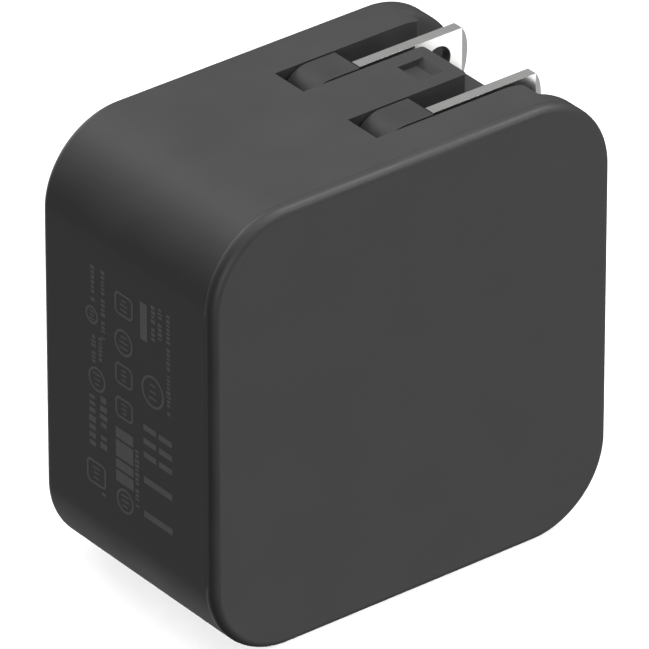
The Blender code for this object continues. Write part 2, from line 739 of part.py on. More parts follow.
def make_output_stage(colours):
    for index, centre in enumerate(((12.0, 6.3), (19.0, 6.6)), start=1):
        can = [(2.6, -6.0), (3.0, -5.6), (3.0, -4.6), (2.7, -4.3), (3.0, -4.0), (3.0, 5.6), (2.6, 6.0)]
        turned(f"output_capacitor_{index}", can, centre, "Y", colours["can"])
    spool = [(3.0, -5.0), (3.0, -4.0), (2.2, -3.9), (2.2, 1.9), (3.0, 2.0), (3.0, 3.0)]
    turned("output_choke", spool, (-14.0, 6.5), "Y", colours["ferrite"])
    bevel(block("board_connector", (-6, 6), (3.2, 10.3), (6.9, 9.3), colours["bobbin"]), 0.2)


def main():
    clear_scene()
    case_plastic = plain_material("case plastic", (0.07, 0.07, 0.072), 0.55)
    cover_plastic = plain_material("cover plastic", (0.07, 0.07, 0.072), 0.55)
    hinge_plastic = plain_material("hinge plastic", (0.065, 0.065, 0.067), 0.5)
    plated_brass = plain_material("plated brass", (0.82, 0.82, 0.83), 0.25, 1.0)
    retainer_plastic = plain_material("retainer plastic", (0.03, 0.03, 0.03), 0.6)
    steel = plain_material("steel", (0.55, 0.55, 0.56), 0.35, 1.0)
    spring_bronze = plain_material("spring bronze", (0.75, 0.5, 0.25), 0.35, 1.0)
    insulation = plain_material("wire insulation", (0.5, 0.03, 0.02), 0.5)
    board = plain_material("board", (0.02, 0.14, 0.06), 0.45)
    port_plastic = plain_material("port plastic", (0.02, 0.02, 0.02), 0.5)
    colours = {
        "fuse": plain_material("fuse sleeve", (0.10, 0.25, 0.12), 0.4),
        "film": plain_material("film capacitor", (0.75, 0.52, 0.06), 0.4),
        "ceramic": plain_material("ceramic disc", (0.05, 0.16, 0.45), 0.45),
        "chip": plain_material("chip epoxy", (0.02, 0.02, 0.02), 0.5),
        "ferrite": plain_material("ferrite", (0.05, 0.05, 0.055), 0.6),
        "copper": plain_material("copper winding", (0.6, 0.2, 0.08), 0.35, 1.0),
        "can": plain_material("capacitor sleeve", (0.03, 0.04, 0.09), 0.35),
        "bobbin": plain_material("bobbin plastic", (0.03, 0.03, 0.03), 0.5),
        "tape": plain_material("winding tape", (0.72, 0.6, 0.1), 0.4),
        "aluminium": plain_material("aluminium sheet", (0.75, 0.76, 0.77), 0.4, 1.0),
        "sheet": plain_material("insulation sheet", (0.8, 0.8, 0.78), 0.6),
    }
    pivot = make_pivot()
    make_housing(case_plastic)
    make_front_cover(cover_plastic)
    make_carrier(pivot, hinge_plastic)
    for name, front_y in blade_front_faces().items():
        make_blade(name, front_y, pivot, plated_brass)
    make_retainer(retainer_plastic)
    make_retainer_screws(steel)
    make_springs(steel, spring_bronze)
    make_lead_wires(insulation)
    make_boards(board)
    make_usb_port(steel, port_plastic)
    make_mains_input(colours)
    make_choke(colours)
    make_bulk_capacitors(colours["can"])
    make_transformer(colours)
    make_power_stage(colours)
    make_output_stage(colours)


main()
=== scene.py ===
import json
import math
import random

import bmesh
import bpy
from mathutils import Matrix, Vector


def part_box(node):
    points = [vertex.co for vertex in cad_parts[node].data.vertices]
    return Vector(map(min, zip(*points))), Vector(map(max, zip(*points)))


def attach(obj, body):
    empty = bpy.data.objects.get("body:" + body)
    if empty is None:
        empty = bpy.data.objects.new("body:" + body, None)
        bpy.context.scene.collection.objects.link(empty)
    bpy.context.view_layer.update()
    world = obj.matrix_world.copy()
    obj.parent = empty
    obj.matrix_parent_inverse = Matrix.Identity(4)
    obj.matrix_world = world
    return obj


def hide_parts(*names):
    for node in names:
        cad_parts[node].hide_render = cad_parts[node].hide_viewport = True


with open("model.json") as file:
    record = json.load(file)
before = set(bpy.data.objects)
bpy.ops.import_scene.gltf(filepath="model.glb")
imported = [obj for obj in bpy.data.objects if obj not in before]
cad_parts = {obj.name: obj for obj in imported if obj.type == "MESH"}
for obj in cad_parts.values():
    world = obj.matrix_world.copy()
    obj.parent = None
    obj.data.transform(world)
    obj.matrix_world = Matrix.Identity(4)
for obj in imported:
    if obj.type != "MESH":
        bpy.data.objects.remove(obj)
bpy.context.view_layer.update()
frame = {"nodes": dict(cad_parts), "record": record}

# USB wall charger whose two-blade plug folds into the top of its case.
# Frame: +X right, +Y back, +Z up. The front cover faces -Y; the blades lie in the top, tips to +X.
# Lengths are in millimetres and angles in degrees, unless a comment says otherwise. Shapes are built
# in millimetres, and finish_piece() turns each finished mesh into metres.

MM = 0.001


def cad_box(node):
    """Lowest and highest corners of a CAD node in millimetres."""
    low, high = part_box(node)
    return low / MM, high / MM


HOUSING_LOW, HOUSING_HIGH = cad_box("main_housing")
COVER_LOW, COVER_HIGH = cad_box("front_cover")
SHELL_LOW, SHELL_HIGH = cad_box("usb_shell")
TONGUE_LOW, TONGUE_HIGH = cad_box("usb_tongue")
BLADE_BOXES = {name: cad_box(f"blade_{name}") for name in ("line", "neutral")}
CARRIER_LOW, CARRIER_HIGH = cad_box("blade_carrier")
FOLD = next(joint for joint in frame["record"]["behaviour"]["joints"] if joint["name"] == "plug_fold")

# How far a tool reaches past what it cuts
PAST = 3.0
# Points closer than this become one before a bevel
MERGE_DISTANCE = 0.0005
# Angles between faces: up to the first they are one flat face, above the second their edge can be
# bevelled, and above the third it is shaded as a sharp edge
FLAT_ANGLE = 0.3
BEVELLED_ANGLE = 35.0
CREASE_ANGLE = 24.0
# How far an edge to be bevelled may lie from where it is looked for: on the case's sides, on flat
# faces, and on faceted round faces
SIDE_TOLERANCE = 0.03
EDGE_TOLERANCE = 0.01
ROUND_TOLERANCE = 0.05
BEVEL_SEGMENTS = 2

# Case
CASE_WIDTH = HOUSING_HIGH.x - HOUSING_LOW.x
CASE_HEIGHT = HOUSING_HIGH.z - HOUSING_LOW.z
FACE_Y = COVER_LOW.y
BACK_Y = HOUSING_HIGH.y
PRINT_RISE = 0.01
PRINT_THICKNESS = 0.04
CORNER_RADIUS = 10.1
CORNER_STEPS = 28
TANGENT_REACH = 0.8
EDGE_FILLET = 1.0
FILLET_STEPS = 9
WALL = 2.0
BACK_WALL = 1.8
COVER_BACK_Y = -13.6
SEAM = 0.02
SEAM_BEVEL = 0.02
MOUTH_BEVEL = 0.06
RIM_GAP = 0.3
RIM_THICKNESS = 1.2
RIM_OVERLAP = 0.3

# Folding plug
PIVOT_X = FOLD["pos_m"][0] / MM
PIVOT_Z = FOLD["pos_m"][2] / MM
DRUM_RADIUS = PIVOT_X - CARRIER_LOW.x
DRUM_RIGHT_X = 7.7
DRUM_INNER_Y = 4.15
DRUM_OUTER_Y = 8.55
DRUM_BEVEL = 0.08
DRUM_STEPS = 66
SHAFT_RADIUS = 1.7
SHAFT_OVERLAP = 0.5
AXLE_RADIUS = 1.4
AXLE_OVERLAP = 0.2
AXLE_GAP = 0.3
BEARING_STEPS = 16
FLAT_DEPTH = 0.35
FLAT_HALF_Y = 1.6
BLADE_THICKNESS = 1.38
BLADE_SETBACK = 0.17
BLADE_BOTTOM_Z = BLADE_BOXES["line"][0].z
BLADE_SHOULDER_X = 7.8
BLADE_CHORD_X = 21.85
BLADE_EXTENSION = 0.6
BLADE_TIP_X = BLADE_BOXES["line"][1].x + BLADE_EXTENSION
BLADE_TIP_STEPS = 20
BLADE_TIP_TAPER = 0.47
BLADE_HOLE = (18.58, 51.03)
BLADE_HOLE_RADIUS = 1.7
BLADE_BEVEL = 0.012
TANG_BACK = 1.5
TANG_THICKNESS = 1.05
TANG_CLEARANCE = 0.15
TANG_OVERLAP = 0.3

# Side view of the blade's tang, measured from the pivot
TANG_NECK_REACH = 2.0
TANG_PAD_REACH = 3.7
TANG_PAD_HALF_HEIGHT = 0.9
TANG_DROP = 1.9
TANG_RISE = 2.8

# Pocket in the top of the case
POCKET_FLOOR_Z = 44.0
POCKET_WALL = 1.2
SLOT_LEFT_X = -0.22
SLOT_INNER_Y = 3.85
SLOT_OUTER_Y = 8.85
TONGUE_END_X = 16.05
TONGUE_THICKNESS = 2.0
RECESS_X = 19.7
RECESS_RIM_Y = 11.8
RECESS_FILLET = 1.2
RECESS_WALL_Y = RECESS_RIM_Y - RECESS_FILLET
POCKET_CORNER = 0.5
POCKET_CORNER_STEPS = 10
WELL_RIGHT_X = 8.5
LATCH_LEFT_X = 11.0
LATCH_RAMP_X = 13.6
LATCH_RIGHT_X = 14.6
LATCH_HALF_Y = 1.85
LATCH_DEPTH = 0.75

# Inside of the case
SCREW_X = (-3.9, 12.0)
SCREW_BORE_RADIUS = 1.1
SCREW_BORE_TOP_Z = 48.1
BORE_STEPS = 24
BOSS_LEFT_X = -6.5
BOSS_HALF_Y = 3.2
BOARD_POSTS = ((-18.0, 12.0), (18.0, 12.0), (-18.0, 35.0), (18.0, 35.0))
BOARD_POST_RADIUS = 1.8
BOARD_POST_Y = 12.5
POST_STEPS = 24

# USB port
PORT_CLEARANCE = 0.28
PORT_DEPTH = WALL + 1.0
SHELL_THICKNESS = 0.32
SHELL_LIP = 0.12
# Sections of the lip: how far in, and how far from the mouth, as shares of SHELL_LIP
LIP_PROFILE = ((1.0, 0.0), (0.3, 0.3), (0.0, 1.0))
STADIUM_SIDE = 0.1
TONGUE_TIP_CHAMFER = (0.35, 0.12, 0.3)
TONGUE_BEVEL = 0.06
CONTACT_COUNT = 12
CONTACT_PITCH = 0.5
CONTACT_HALF_WIDTH = 0.13
CONTACT_DEPTH = 0.05
CONTACT_RISE = 0.03
CONTACT_START = 0.55
CONTACT_END = 4.2


def place(point, axis, along):
    """Put an outline point across `axis` at the distance `along` it."""
    first, second = point
    return {"X": (along, first, second), "Y": (first, along, second), "Z": (first, second, along)}[axis]


def arc(centre, radius, start, end, steps):
    """Points of an arc, angles in degrees from the outline's first axis."""
    points = []
    for step in range(steps + 1):
        angle = math.radians(start + (end - start) * step / steps)
        points.append((centre[0] + radius * math.cos(angle), centre[1] + radius * math.sin(angle)))
    return points


def round_rectangle(width, height, radius, centre=(0.0, 0.0), steps=8):
    """Outline of a rectangle with rounded corners, from the top right corner round by the left."""
    side = width / 2 - radius
    top = height / 2 - radius
    points = []
    for turn, (across, up) in enumerate(((side, top), (-side, top), (-side, -top), (side, -top))):
        corner = (centre[0] + across, centre[1] + up)
        points += arc(corner, radius, 90 * turn, 90 * turn + 90, steps)
    return points


def rectangle(left, right, bottom, top):
    return [(left, bottom), (right, bottom), (right, top), (left, top)]


def circle(centre, radius, steps=48):
    return arc(centre, radius, 0, 360, steps)[:-1]


def add_loft(shape, sections, axis):
    """Add the solid that loft() describes to a bmesh."""
    rings = []
    for outline, along in sections:
        rings.append([shape.verts.new(place(point, axis, along)) for point in outline])
    for lower, upper in zip(rings, rings[1:]):
        for index in range(len(lower)):
            after = (index + 1) % len(lower)
            shape.faces.new((lower[index], lower[after], upper[after], upper[index]))
    shape.faces.new(rings[0])
    shape.faces.new(rings[-1])


def add_frame(shape, outer, inner, axis, start, end):
    """Add the ring that ring() describes to a bmesh."""
    loops = []
    for outline, along in ((outer, start), (outer, end), (inner, end), (inner, start)):
        loops.append([shape.verts.new(place(point, axis, along)) for point in outline])
    for one, other in zip(loops, loops[1:] + loops[:1]):
        for index in range(len(outer)):
            after = (index + 1) % len(outer)
            shape.faces.new((one[index], one[after], other[after], other[index]))


def add_object(name, shape):
    """Turn a bmesh into an object, still in millimetres."""
    bmesh.ops.recalc_face_normals(shape, faces=shape.faces)
    mesh = bpy.data.meshes.new(name)
    shape.to_mesh(mesh)
    shape.free()
    item = bpy.data.objects.new(name, mesh)
    bpy.context.scene.collection.objects.link(item)
    return item


def loft(name, sections, axis):
    """Closed solid through outlines of equal length; a section is (outline, along)."""
    shape = bmesh.new()
    add_loft(shape, sections, axis)
    return add_object(name, shape)


def prism(name, outline, axis, start, end):
    """Closed solid with the same outline all along the axis."""
    return loft(name, [(outline, start), (outline, end)], axis)


def block(name, x_range, y_range, z_range):
    """Box from three (lowest, highest) pairs."""
    return prism(name, rectangle(*x_range, *y_range), "Z", *z_range)


def ring(name, outer, inner, axis, start, end):
    """Closed ring: an outline with a hole of the same point count, swept along the axis."""
    shape = bmesh.new()
    add_frame(shape, outer, inner, axis, start, end)
    return add_object(name, shape)


def apply_modifiers(item):
    """Replace the item's mesh with what its modifiers make of it."""
    graph = bpy.context.evaluated_depsgraph_get()
    mesh = bpy.data.meshes.new_from_object(item.evaluated_get(graph))
    item.modifiers.clear()
    rough = item.data
    item.data = mesh
    bpy.data.meshes.remove(rough)


def combine(item, tools, operation):
    """Cut the tools from the item, or join them to it, and drop them."""
    for tool in tools:
        modifier = item.modifiers.new(tool.name, "BOOLEAN")
        modifier.operation = operation
        modifier.object = tool
        modifier.solver = "EXACT"
    apply_modifiers(item)
    for tool in tools:
        bpy.data.objects.remove(tool)


def cut(item, *tools):
    combine(item, tools, "DIFFERENCE")


def join(item, *tools):
    combine(item, tools, "UNION")


def soften(item, width, wanted):
    """Round the sharp edges for which wanted(one end, other end) is true."""
    shape = bmesh.new()
    shape.from_mesh(item.data)
    bmesh.ops.remove_doubles(shape, verts=shape.verts, dist=MERGE_DISTANCE)
    flat = math.radians(FLAT_ANGLE)
    bmesh.ops.dissolve_limit(shape, angle_limit=flat, verts=shape.verts, edges=shape.edges)
    sharp = []
    for edge in shape.edges:
        if edge.is_manifold and edge.calc_face_angle() > math.radians(BEVELLED_ANGLE):
            if wanted(edge.verts[0].co, edge.verts[1].co):
                sharp.append(edge)
    bmesh.ops.bevel(
        shape,
        geom=sharp,
        offset=width,
        offset_type="OFFSET",
        segments=BEVEL_SEGMENTS,
        profile=0.5,
        affect="EDGES",
        clamp_overlap=False,
    )
    shape.to_mesh(item.data)
    shape.free()


def finish_piece(item, material, body, replaced=()):
    """Bring a finished mesh into metres, shade it, and tie it to its CAD body."""
    item.data.transform(Matrix.Scale(MM, 4))
    item.data.shade_smooth()
    item.data.set_sharp_from_angle(angle=math.radians(CREASE_ANGLE))
    weighted = item.modifiers.new("face weighted normals", "WEIGHTED_NORMAL")
    weighted.keep_sharp = True
    apply_modifiers(item)
    item.data.materials.clear()
    item.data.materials.append(material)
    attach(item, body)
    if replaced:
        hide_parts(*replaced)


def case_outline(inset):
    """Front view of the case, moved in by the inset.

    It lies PRINT_RISE inside the CAD box, which leaves room for the print. The end points of each
    corner's arc sit a little way along the straight sides, clear of the pocket floor.
    """
    half_width = CASE_WIDTH / 2 - PRINT_RISE - inset
    half_height = CASE_HEIGHT / 2 - PRINT_RISE - inset
    radius = CORNER_RADIUS - PRINT_RISE - inset
    centre = (0.0, CASE_HEIGHT / 2)
    points = round_rectangle(2 * half_width, 2 * half_height, radius, centre, CORNER_STEPS)
    reach = TANGENT_REACH
    before = ((0, -reach), (reach, 0), (0, reach), (-reach, 0))
    after = ((-reach, 0), (0, -reach), (reach, 0), (0, reach))
    for corner in range(4):
        first = corner * (CORNER_STEPS + 1)
        last = first + CORNER_STEPS
        points[first] = (points[first][0] + before[corner][0], points[first][1] + before[corner][1])
        points[last] = (points[last][0] + after[corner][0], points[last][1] + after[corner][1])
    return points


def case_distance(point):
    """How far a point is outside the case's sides, negative inside."""
    radius = CORNER_RADIUS - PRINT_RISE
    across = abs(point.x) - (CASE_WIDTH / 2 - CORNER_RADIUS)
    up = abs(point.z - CASE_HEIGHT / 2) - (CASE_HEIGHT / 2 - CORNER_RADIUS)
    corner = math.hypot(max(across, 0.0), max(up, 0.0))
    return corner + min(max(across, up), 0.0) - radius


def on_case_sides(one, other):
    """Edges on the outside of the case, other than those of its front and back."""
    return min(case_distance(one), case_distance(other)) > -SIDE_TOLERANCE


def fillet_sections(face_y, inward, radius=EDGE_FILLET, proud=0.0):
    """Sections of a rounded edge, from the face inwards (inward is +1 or -1), moved out by `proud`."""
    sections = []
    for step in range(FILLET_STEPS + 1):
        angle = math.radians(90 * step / FILLET_STEPS)
        inset = radius * (1 - math.sin(angle)) - proud
        depth = radius * (1 - math.cos(angle))
        sections.append((case_outline(inset), face_y + inward * depth))
    return sections


def pocket_side():
    """Plan of one blade slot and its side of the finger recess, for the side of positive Y."""
    radius = POCKET_CORNER
    steps = POCKET_CORNER_STEPS
    tongue = TONGUE_END_X - radius
    tongue_side = [(SLOT_LEFT_X, SLOT_INNER_Y)]
    tongue_side += arc((tongue, SLOT_INNER_Y - radius), radius, 90, 0, steps)
    slot = [(SLOT_LEFT_X, SLOT_OUTER_Y)]
    slot += arc((RECESS_X - radius, SLOT_OUTER_Y + radius), radius, -90, 0, steps)
    slot += arc((RECESS_X + radius, RECESS_WALL_Y - radius), radius, 180, 90, steps)
    slot += [(CASE_WIDTH / 2 + PAST, RECESS_WALL_Y)]
    return tongue_side[::-1] + slot


def pocket_outline():
    """Plan of the blade slots and the finger recess, open past the right side."""
    back = pocket_side()
    return back + [(x, -y) for x, y in reversed(back)]


def bearing_outline(radius, bottom):
    """Upside-down U round the pivot, open at the bottom."""
    top = arc((PIVOT_X, PIVOT_Z), radius, 0, 180, BEARING_STEPS)
    return [(PIVOT_X + radius, bottom)] + top + [(PIVOT_X - radius, bottom)]


def solids_inside_case():
    """Walls round the blade pocket, the screw boss and the board posts."""
    bottom = POCKET_FLOOR_Z - POCKET_WALL
    above = CASE_HEIGHT + PAST
    right = CASE_WIDTH / 2 + PAST
    slot_left = SLOT_LEFT_X - POCKET_WALL
    slot_reach = SLOT_OUTER_Y + POCKET_WALL
    recess_left = RECESS_X - POCKET_WALL
    overlap = 0.1
    boss_y = (-BOSS_HALF_Y, BOSS_HALF_Y)
    deep = (FACE_Y - PAST, BACK_Y + PAST)
    solids = [
        block("slot_walls_tool", (slot_left, right), (-slot_reach, slot_reach), (bottom, above)),
        block("recess_walls_tool", (recess_left, right), deep, (bottom - overlap, above)),
        block("screw_boss_tool", (BOSS_LEFT_X, slot_left + overlap), boss_y, (bottom + overlap, above)),
    ]
    for centre in BOARD_POSTS:
        post = circle(centre, BOARD_POST_RADIUS, POST_STEPS)
        solids.append(prism("board_post_tool", post, "Y", BOARD_POST_Y, BACK_Y + PAST))
    return solids


def pocket_tools():
    """What is cut from the top of the case for the folding plug."""
    above = CASE_HEIGHT + PAST
    below = POCKET_FLOOR_Z - POCKET_WALL - PAST
    inset = 0.1
    well_x = (SLOT_LEFT_X + inset, WELL_RIGHT_X)
    well_y = SLOT_OUTER_Y - inset
    bearing = bearing_outline(AXLE_RADIUS + AXLE_GAP, below)
    bearing_end = CARRIER_HIGH.y + AXLE_GAP
    latch_floor = CASE_HEIGHT - LATCH_DEPTH
    latch = [
        (LATCH_LEFT_X, above),
        (LATCH_LEFT_X, latch_floor),
        (LATCH_RAMP_X, latch_floor),
        (LATCH_RIGHT_X, CASE_HEIGHT),
        (LATCH_RIGHT_X, above),
    ]
    tools = [
        prism("pocket_tool", pocket_outline(), "Z", POCKET_FLOOR_Z, above),
        block("well_tool", well_x, (-well_y, well_y), (below, CASE_HEIGHT - TONGUE_THICKNESS)),
        prism("bearing_tool", bearing, "Y", -bearing_end, bearing_end),
        prism("latch_tool", latch, "Y", -LATCH_HALF_Y, LATCH_HALF_Y),
    ]
    for x in SCREW_X:
        bore = circle((x, 0), SCREW_BORE_RADIUS, BORE_STEPS)
        tools.append(prism("screw_bore_tool", bore, "Z", below, SCREW_BORE_TOP_Z))
    return tools


def recess_rim_tool(side):
    """What rounds the outer edge of the finger recess's back wall (side 1) or front wall (side -1).

    The rounding stands `proud` of the case, so that the cut leaves the case's own surface alone.
    """
    proud = 0.004
    overlap = 0.2
    across = (RECESS_X, CASE_WIDTH / 2 + PAST)
    depth = (side * (RECESS_WALL_Y - overlap / 2), side * RECESS_RIM_Y)
    tool = block("recess_rim_tool", across, depth, (POCKET_FLOOR_Z, CASE_HEIGHT + PAST))
    kept = fillet_sections(side * RECESS_WALL_Y, side, RECESS_FILLET, proud)
    kept.insert(0, (case_outline(RECESS_FILLET - proud), side * (RECESS_WALL_Y - overlap)))
    kept.append((case_outline(-proud), side * (RECESS_RIM_Y + overlap)))
    cut(tool, loft("recess_wall_tool", kept, "Y"))
    return tool


def stadium(width, height, steps=14):
    """Outline with nearly half-round ends."""
    return round_rectangle(width, height, (height - STADIUM_SIDE) / 2, steps=steps)


def port_tool():
    """What opens the case's bottom round the port's shell."""
    width = SHELL_HIGH.x - SHELL_LOW.x + 2 * PORT_CLEARANCE
    height = SHELL_HIGH.y - SHELL_LOW.y + 2 * PORT_CLEARANCE
    return prism("port_opening_tool", stadium(width, height), "Z", -PAST, PORT_DEPTH)


def on_mouth(one, other):
    """Edges where the pocket and the port meet the outside of the case."""
    between_rims = max(abs(one.y), abs(other.y)) < RECESS_WALL_Y + ROUND_TOLERANCE
    return between_rims and on_case_sides(one, other)


def on_housing_seam(one, other):
    """Outer edge of the housing's open front, where the cover sits."""
    at_front = max(one.y, other.y) < COVER_BACK_Y + SEAM + EDGE_TOLERANCE
    return at_front and on_case_sides(one, other)


def make_housing(material):
    """Open box with a blade pocket, a recess with rounded rims, a port opening, a boss and posts."""
    front_y = COVER_BACK_Y + SEAM
    sections = fillet_sections(BACK_Y, -1) + [(case_outline(0.0), front_y)]
    housing = loft("housing_shell", sections, "Y")
    cavity = prism("cavity_tool", case_outline(WALL), "Y", front_y - PAST, BACK_Y - BACK_WALL)
    cut(cavity, *solids_inside_case())
    cut(housing, cavity, *pocket_tools(), recess_rim_tool(-1), recess_rim_tool(1), port_tool())
    soften(housing, MOUTH_BEVEL, on_mouth)
    soften(housing, SEAM_BEVEL, on_housing_seam)
    finish_piece(housing, material, "charger", ["main_housing"])


def make_cover(material):
    """Front plate with the locating rim that reaches into the housing."""
    sections = fillet_sections(FACE_Y, 1) + [(case_outline(0.0), COVER_BACK_Y)]
    cover = loft("cover_panel", sections, "Y")
    outer = case_outline(WALL + RIM_GAP)
    inner = case_outline(WALL + RIM_GAP + RIM_THICKNESS)
    rim = ring("rim_tool", outer, inner, "Y", COVER_BACK_Y - RIM_OVERLAP, COVER_HIGH.y)
    corner_x = (RECESS_X - POCKET_WALL - RIM_GAP, CASE_WIDTH / 2)
    corner_z = (POCKET_FLOOR_Z - POCKET_WALL - 2 * RIM_GAP, CASE_HEIGHT)
    cut(rim, block("rim_corner_tool", corner_x, (FACE_Y, 0), corner_z))
    join(cover, rim)
    soften(cover, SEAM_BEVEL, on_case_sides)
    finish_piece(cover, material, "charger", ["front_cover"])


def drum_outline():
    """Circle with a flat right side and a square top right quarter that lies flush with the case."""
    end = 360 - math.degrees(math.acos((DRUM_RIGHT_X - PIVOT_X) / DRUM_RADIUS))
    round_part = arc((PIVOT_X, PIVOT_Z), DRUM_RADIUS, 90, end, DRUM_STEPS)
    return round_part + [(DRUM_RIGHT_X, PIVOT_Z + DRUM_RADIUS)]


def tang_outline(clearance):
    """Blade root inside the drum, with the contact pad at its left end."""
    right = BLADE_SHOULDER_X + clearance
    neck = PIVOT_X - TANG_NECK_REACH - clearance
    pad = PIVOT_X - TANG_PAD_REACH - clearance
    pad_bottom = PIVOT_Z - TANG_PAD_HALF_HEIGHT - clearance
    pad_top = PIVOT_Z + TANG_PAD_HALF_HEIGHT + clearance
    bottom = PIVOT_Z - TANG_DROP - clearance
    top = PIVOT_Z + TANG_RISE + clearance
    return [
        (pad, pad_bottom),
        (neck, pad_bottom),
        (neck, bottom),
        (right, bottom),
        (right, top),
        (neck, top),
        (neck, pad_top),
        (pad, pad_top),
    ]


def blade_faces(name):
    """Depth range of a blade and of its tang."""
    low_y = BLADE_BOXES[name][0].y
    front_y = low_y + BLADE_SETBACK
    tang_back_y = low_y + TANG_BACK
    return (front_y, front_y + BLADE_THICKNESS), (tang_back_y - TANG_THICKNESS, tang_back_y)


def on_drum(one, other):
    """Edges of the drums, leaving the shaft, the axles and the tang pockets."""
    for end in (one, other):
        reach = math.hypot(end.x - PIVOT_X, end.z - PIVOT_Z)
        depth = abs(end.y)
        inside = DRUM_INNER_Y - EDGE_TOLERANCE < depth < DRUM_OUTER_Y + EDGE_TOLERANCE
        on_flat = abs(end.x - DRUM_RIGHT_X) < EDGE_TOLERANCE
        if not inside or (reach < DRUM_RADIUS - ROUND_TOLERANCE and not on_flat):
            return False
    return True


def make_carrier(material):
    """Shaft with two flats for the detent, and a drum and a stub axle at each end."""
    shaft = circle((PIVOT_X, PIVOT_Z), SHAFT_RADIUS)
    shaft_end = DRUM_INNER_Y + SHAFT_OVERLAP
    carrier = prism("plug_carrier", shaft, "Y", -shaft_end, shaft_end)
    flat = SHAFT_RADIUS - FLAT_DEPTH
    reach = SHAFT_RADIUS + 1
    flat_y = (-FLAT_HALF_Y, FLAT_HALF_Y)
    whole_x = (PIVOT_X - reach, PIVOT_X + reach)
    whole_z = (PIVOT_Z - reach, PIVOT_Z + reach)
    cut(
        carrier,
        block("rest_flat_tool", whole_x, flat_y, (PIVOT_Z - reach, PIVOT_Z - flat)),
        block("open_flat_tool", (PIVOT_X - reach, PIVOT_X - flat), flat_y, whole_z),
    )
    axle = circle((PIVOT_X, PIVOT_Z), AXLE_RADIUS)
    axle_start = DRUM_OUTER_Y - AXLE_OVERLAP
    for side in (-1, 1):
        join(
            carrier,
            prism("drum_tool", drum_outline(), "Y", side * DRUM_INNER_Y, side * DRUM_OUTER_Y),
            prism("axle_tool", axle, "Y", side * axle_start, side * CARRIER_HIGH.y),
        )
    for name in BLADE_BOXES:
        tang_y = blade_faces(name)[1]
        pocket_y = (tang_y[0] - TANG_CLEARANCE, tang_y[1] + TANG_CLEARANCE)
        cut(carrier, prism("tang_pocket_tool", tang_outline(TANG_CLEARANCE), "Y", *pocket_y))
    soften(carrier, DRUM_BEVEL, on_drum)
    finish_piece(carrier, material, "plug", ["blade_carrier"])


def blade_outline():
    """Side view of the blade outside its drum: straight edges and a shallow round tip."""
    half = (CASE_HEIGHT - BLADE_BOTTOM_Z) / 2
    middle_z = CASE_HEIGHT - half
    bulge = BLADE_TIP_X - BLADE_CHORD_X
    radius = (half ** 2 + bulge ** 2) / (2 * bulge)
    spread = math.degrees(math.asin(half / radius))
    tip = arc((BLADE_TIP_X - radius, middle_z), radius, -spread, spread, BLADE_TIP_STEPS)
    return [(BLADE_SHOULDER_X, CASE_HEIGHT), (BLADE_SHOULDER_X, BLADE_BOTTOM_Z)] + tip


def on_blade(one, other):
    """Edges of the blade outside its drum."""
    return min(one.x, other.x) > BLADE_SHOULDER_X - EDGE_TOLERANCE


def make_blade(name, material):
    """Flat blade with a tapered tip, a hole, and a tang that reaches into its drum."""
    blade_y, tang_y = blade_faces(name)
    blade = prism(f"contact_blade_{name}", blade_outline(), "Y", *blade_y)
    rise = PAST * BLADE_TIP_TAPER
    tool_z = (BLADE_BOTTOM_Z - PAST, CASE_HEIGHT + PAST)
    tools = []
    for face, outward in ((blade_y[0], -1), (blade_y[1], 1)):
        wedge = [
            (BLADE_CHORD_X, face),
            (BLADE_CHORD_X + PAST, face - outward * rise),
            (BLADE_CHORD_X + PAST, face + outward),
            (BLADE_CHORD_X, face + outward),
        ]
        tools.append(prism("tip_taper_tool", wedge, "Z", *tool_z))
    hole = circle(BLADE_HOLE, BLADE_HOLE_RADIUS)
    tools.append(prism("hole_tool", hole, "Y", blade_y[0] - 1, blade_y[1] + 1))
    cut(blade, *tools)
    tang = [(x + TANG_OVERLAP if x > PIVOT_X else x, z) for x, z in tang_outline(0.0)]
    join(blade, prism("tang_tool", tang, "Y", *tang_y))
    soften(blade, BLADE_BEVEL, on_blade)
    finish_piece(blade, material, "plug", [f"blade_{name}"])


def make_port_shell(material):
    """Stamped tube, closed at its inner end, with a rounded lip at the mouth."""
    width = SHELL_HIGH.x - SHELL_LOW.x
    height = SHELL_HIGH.y - SHELL_LOW.y
    mouth_z = SHELL_LOW.z
    sections = []
    for inset, rise in LIP_PROFILE:
        narrowing = 2 * inset * SHELL_LIP
        outline = stadium(width - narrowing, height - narrowing)
        sections.append((outline, mouth_z + rise * SHELL_LIP))
    sections.append((stadium(width, height), SHELL_HIGH.z))
    shell = loft("port_shell", sections, "Z")
    inner = stadium(width - 2 * SHELL_THICKNESS, height - 2 * SHELL_THICKNESS)
    cut(shell, prism("mouth_tool", inner, "Z", mouth_z - PAST, SHELL_HIGH.z - SHELL_THICKNESS))
    finish_piece(shell, material, "charger", ["usb_shell"])


def tongue_half_thickness():
    """The tongue is thinner than its CAD node, which leaves room for the contacts' faces."""
    return TONGUE_HIGH.y - CONTACT_RISE


def make_port_tongue(material):
    """Flat tongue with a chamfered tip."""
    half_x = TONGUE_HIGH.x
    half_y = tongue_half_thickness()
    across, through, along = TONGUE_TIP_CHAMFER
    tip = rectangle(across - half_x, half_x - across, through - half_y, half_y - through)
    full = rectangle(-half_x, half_x, -half_y, half_y)
    tip_z = TONGUE_LOW.z
    sections = [(tip, tip_z), (full, tip_z + along), (full, TONGUE_HIGH.z)]
    tongue = loft("port_tongue", sections, "Z")
    soften(tongue, TONGUE_BEVEL, lambda one, other: True)
    finish_piece(tongue, material, "charger", ["usb_tongue"])


